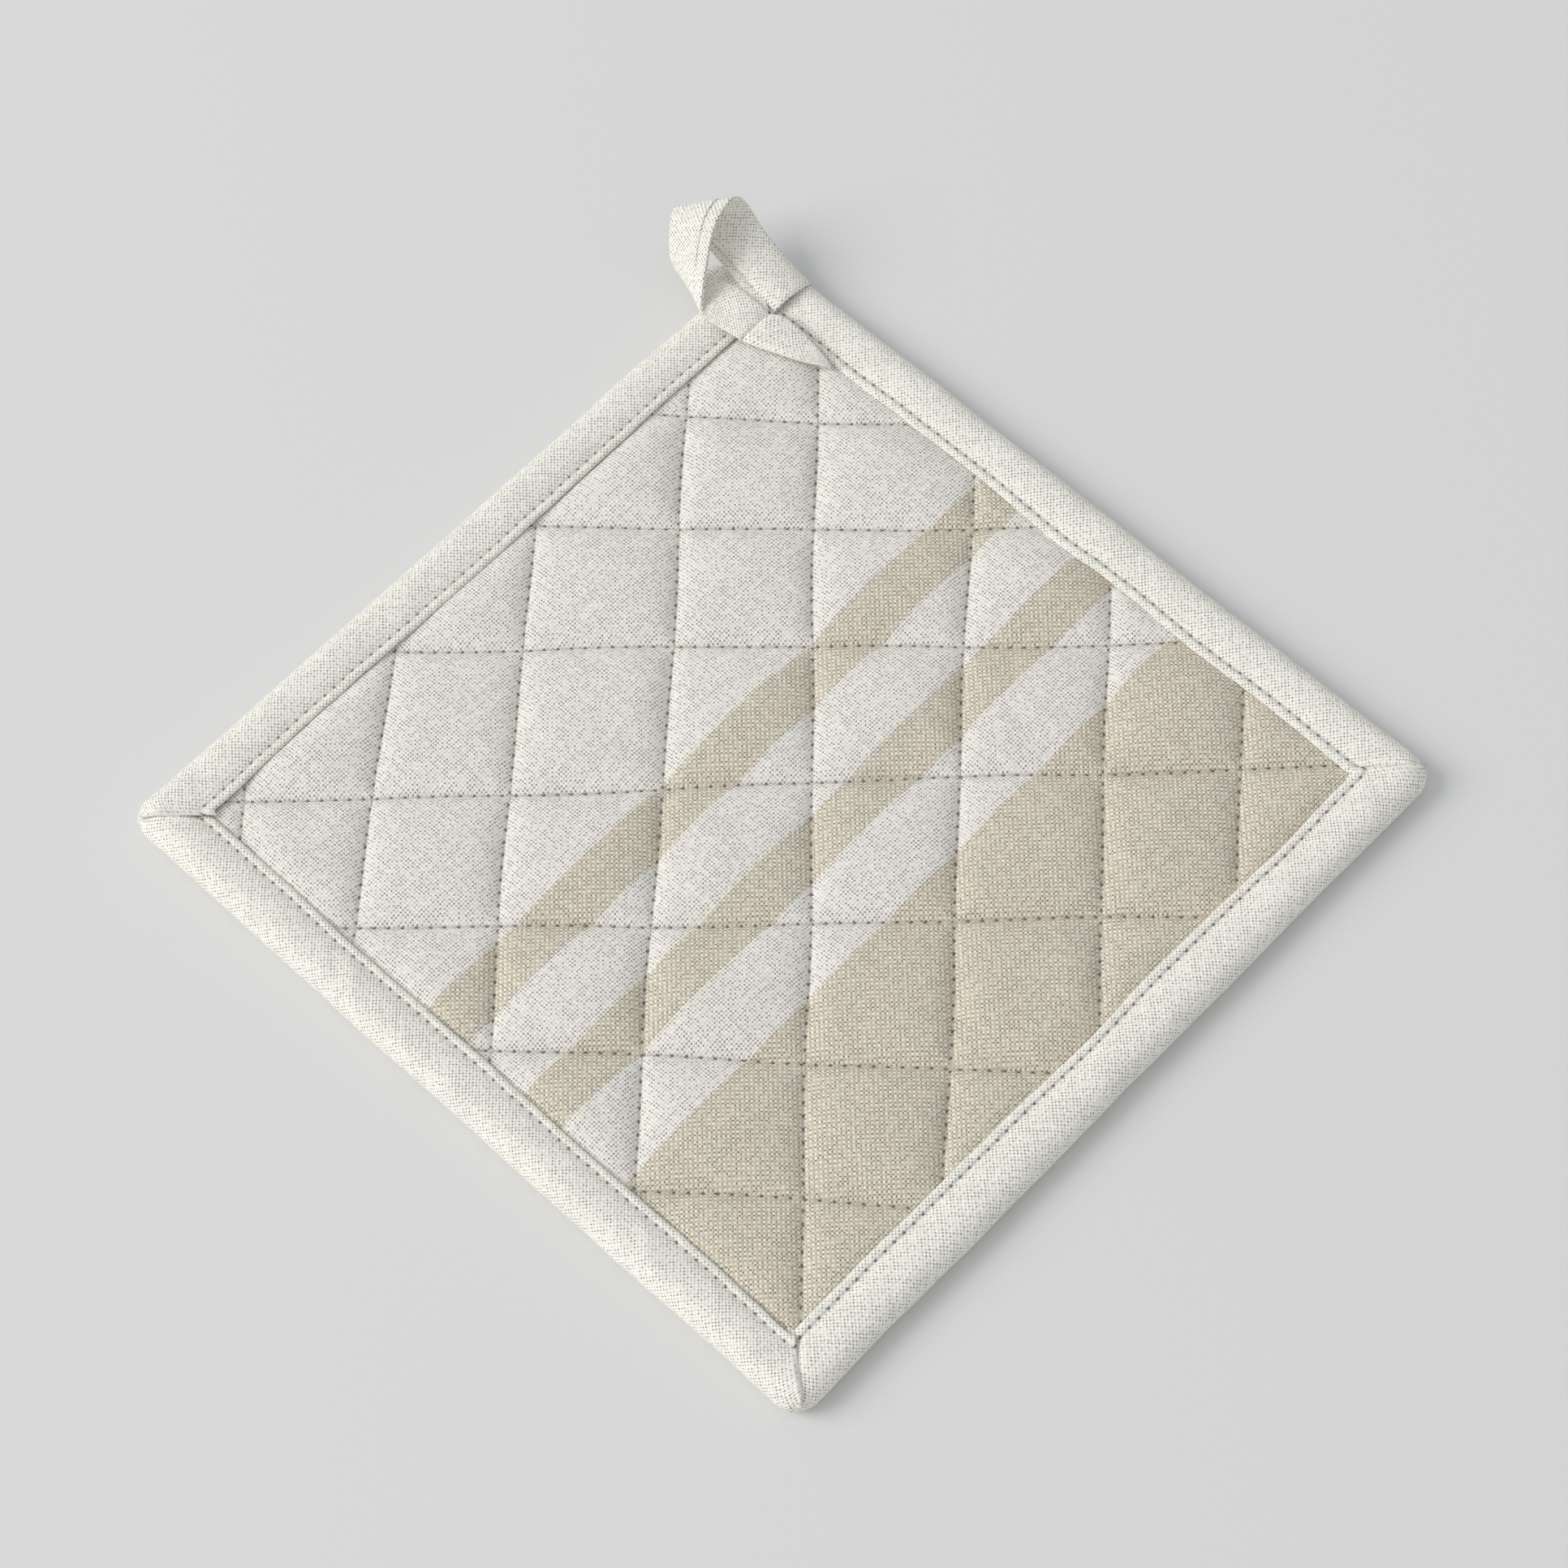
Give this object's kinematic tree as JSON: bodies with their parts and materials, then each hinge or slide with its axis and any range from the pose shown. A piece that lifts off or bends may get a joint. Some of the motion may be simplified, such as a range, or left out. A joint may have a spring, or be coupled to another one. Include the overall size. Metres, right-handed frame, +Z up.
{
  "type": "quilted pot holder",
  "caption": "Square quilted cloth pot holder with a bound edge and a corner hanging loop; it folds in half over a hot handle.",
  "frame": {"origin": "middle of the whole object's footprint, on the surface it lies on", "axes": "+Z up out of the quilted front, +Y along the pad's diagonal towards the hanging-loop corner, +X to the right seen from the front"},
  "size_m": [0.2778, 0.2898, 0.0195],
  "materials": {
    "front_cloth": "matt plain weave, off-white with beige stripes and a beige field",
    "back_cloth": "matt plain weave, off-white",
    "wadding": "soft felted wadding",
    "binding_cloth": "matt plain weave cut on the bias, off-white",
    "quilting_thread": "spun sewing thread, grey-brown",
    "binding_thread": "spun sewing thread, light grey-brown"
  },
  "bodies": {
    "upper_half": {"front_panel_upper": "front_cloth", "wadding_upper": "wadding", "back_panel_upper": "back_cloth", "bobbin_threads_upper": "quilting_thread", "binding_upper_right": "binding_cloth", "binding_thread_front_upper_right": "binding_thread", "binding_thread_back_upper_right": "binding_thread", "binding_upper_left": "binding_cloth", "binding_thread_front_upper_left": "binding_thread", "binding_thread_back_upper_left": "binding_thread", "quilting_thread_row_4": "quilting_thread", "quilting_thread_row_5": "quilting_thread", "quilting_thread_row_6": "quilting_thread", "quilting_thread_row_7": "quilting_thread", "quilting_thread_column_1_upper": "quilting_thread", "quilting_thread_column_2_upper": "quilting_thread", "quilting_thread_column_3_upper": "quilting_thread", "quilting_thread_column_4_upper": "quilting_thread", "quilting_thread_column_5_upper": "quilting_thread", "quilting_thread_column_6_upper": "quilting_thread", "quilting_thread_column_7_upper": "quilting_thread", "quilting_thread_column_8_upper": "quilting_thread", "loop_end_tab": "binding_cloth", "loop_tack_thread": "binding_thread"},
    "lower_half": {"front_panel_lower": "front_cloth", "wadding_lower": "wadding", "back_panel_lower": "back_cloth", "bobbin_threads_lower": "quilting_thread", "binding_lower_left": "binding_cloth", "binding_thread_front_lower_left": "binding_thread", "binding_thread_back_lower_left": "binding_thread", "binding_lower_right": "binding_cloth", "binding_thread_front_lower_right": "binding_thread", "binding_thread_back_lower_right": "binding_thread", "quilting_thread_row_1": "quilting_thread", "quilting_thread_row_2": "quilting_thread", "quilting_thread_row_3": "quilting_thread", "quilting_thread_column_1_lower": "quilting_thread", "quilting_thread_column_2_lower": "quilting_thread", "quilting_thread_column_3_lower": "quilting_thread", "quilting_thread_column_4_lower": "quilting_thread", "quilting_thread_column_5_lower": "quilting_thread", "quilting_thread_column_6_lower": "quilting_thread", "quilting_thread_column_7_lower": "quilting_thread", "quilting_thread_column_8_lower": "quilting_thread"},
    "hanging_loop": {"hanging_loop": "binding_cloth"}
  },
  "joints": [
    {"name": "fold", "type": "hinge", "parent": "upper_half", "child": "lower_half", "pos_m": [0, -0.00665, 0.009], "axis": [-1, 0, 0], "range_deg": [0, 150]},
    {"name": "loop_flex", "type": "hinge", "parent": "upper_half", "child": "hanging_loop", "pos_m": [-0.00028, 0.1357, 0.0082], "axis": [0.7071, 0.7071, 0], "range_deg": [-20, 80]}
  ]
}
